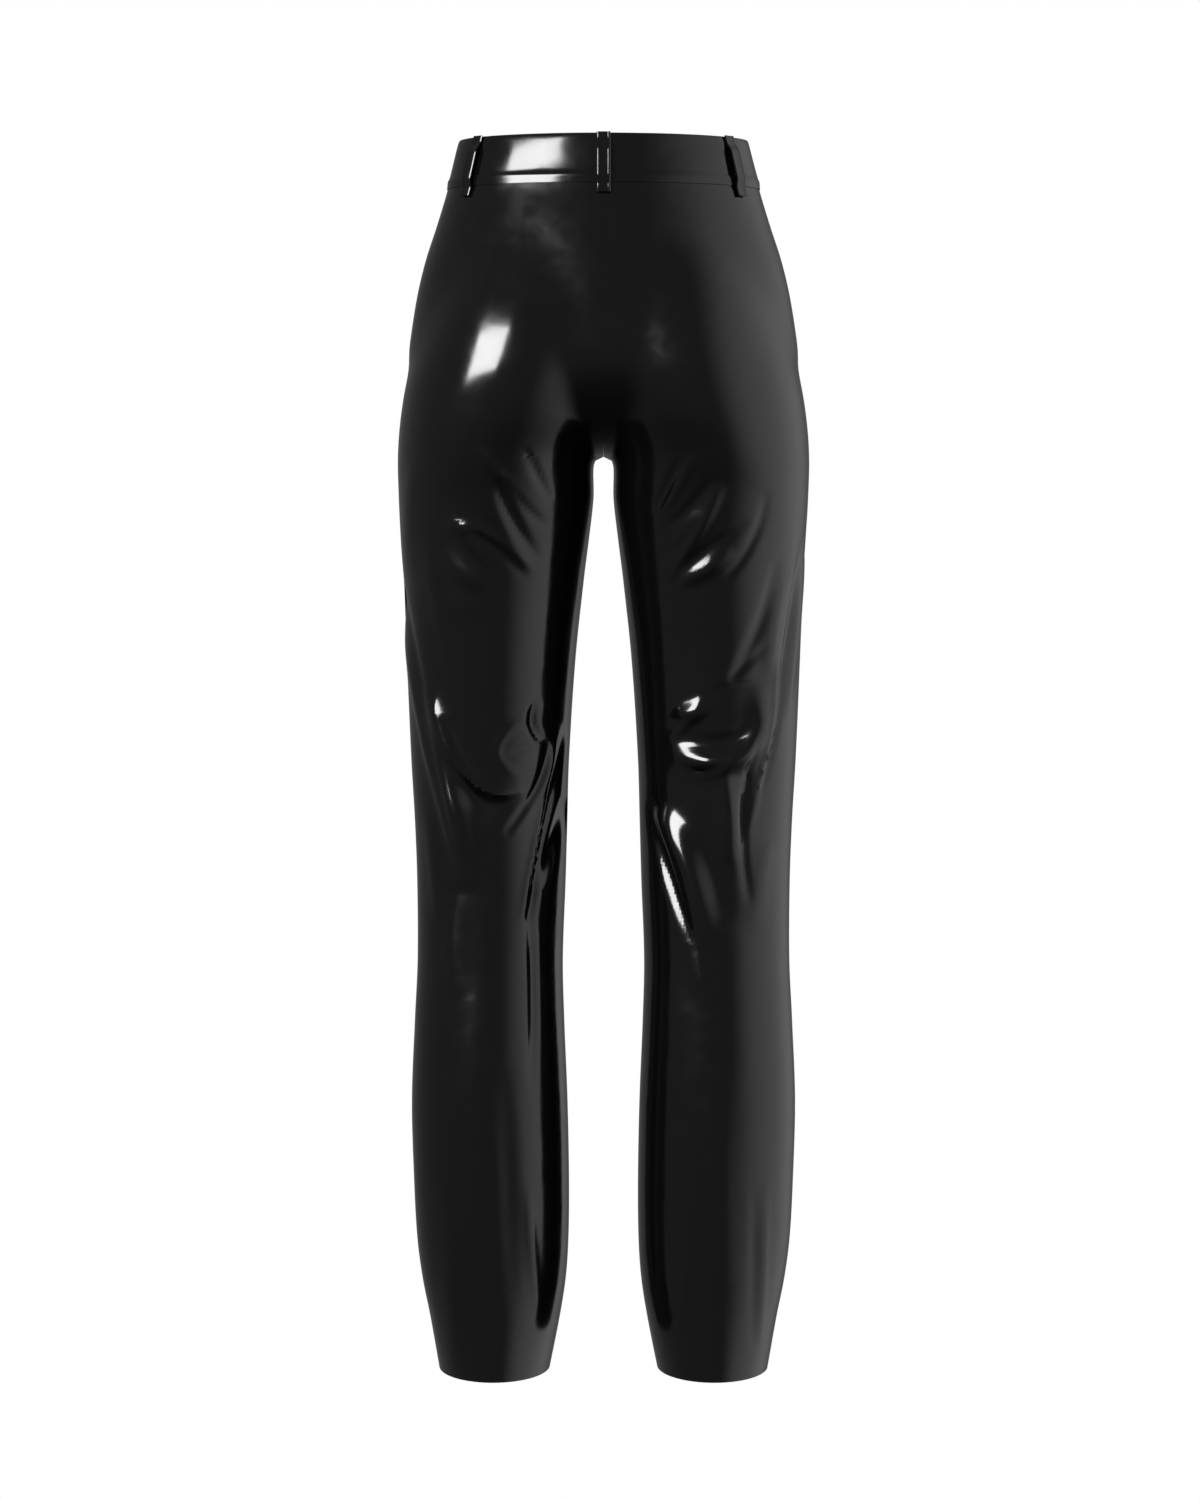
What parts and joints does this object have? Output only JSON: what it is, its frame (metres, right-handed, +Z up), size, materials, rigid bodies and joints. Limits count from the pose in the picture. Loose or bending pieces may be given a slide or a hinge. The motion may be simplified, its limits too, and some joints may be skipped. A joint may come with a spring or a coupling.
{
  "type": "latex trousers",
  "caption": "Fitted latex trousers, filled out as worn, with a waistband, belt loops, a front fly and two straight full-length legs.",
  "frame": {"origin": "centre of the waist opening, halfway up the waistband, where the wearer's waist holds the garment", "axes": "+Z up towards the wearer's head, -Y the wearer's front, +X the wearer's left"},
  "size_m": [0.3506, 0.2359, 1.0515],
  "materials": {
    "latex": "polished black latex sheet",
    "button_steel": "satin"
  },
  "bodies": {
    "root": {"front_left": "latex", "back_left": "latex", "front_right": "latex", "back_right": "latex", "waistband": "latex", "belt_loop_back": "latex", "belt_loop_side_left": "latex", "belt_loop_side_right": "latex", "belt_loop_front_left": "latex", "belt_loop_front_right": "latex", "fly": "latex", "waistband_button": "button_steel"}
  },
  "joints": []
}
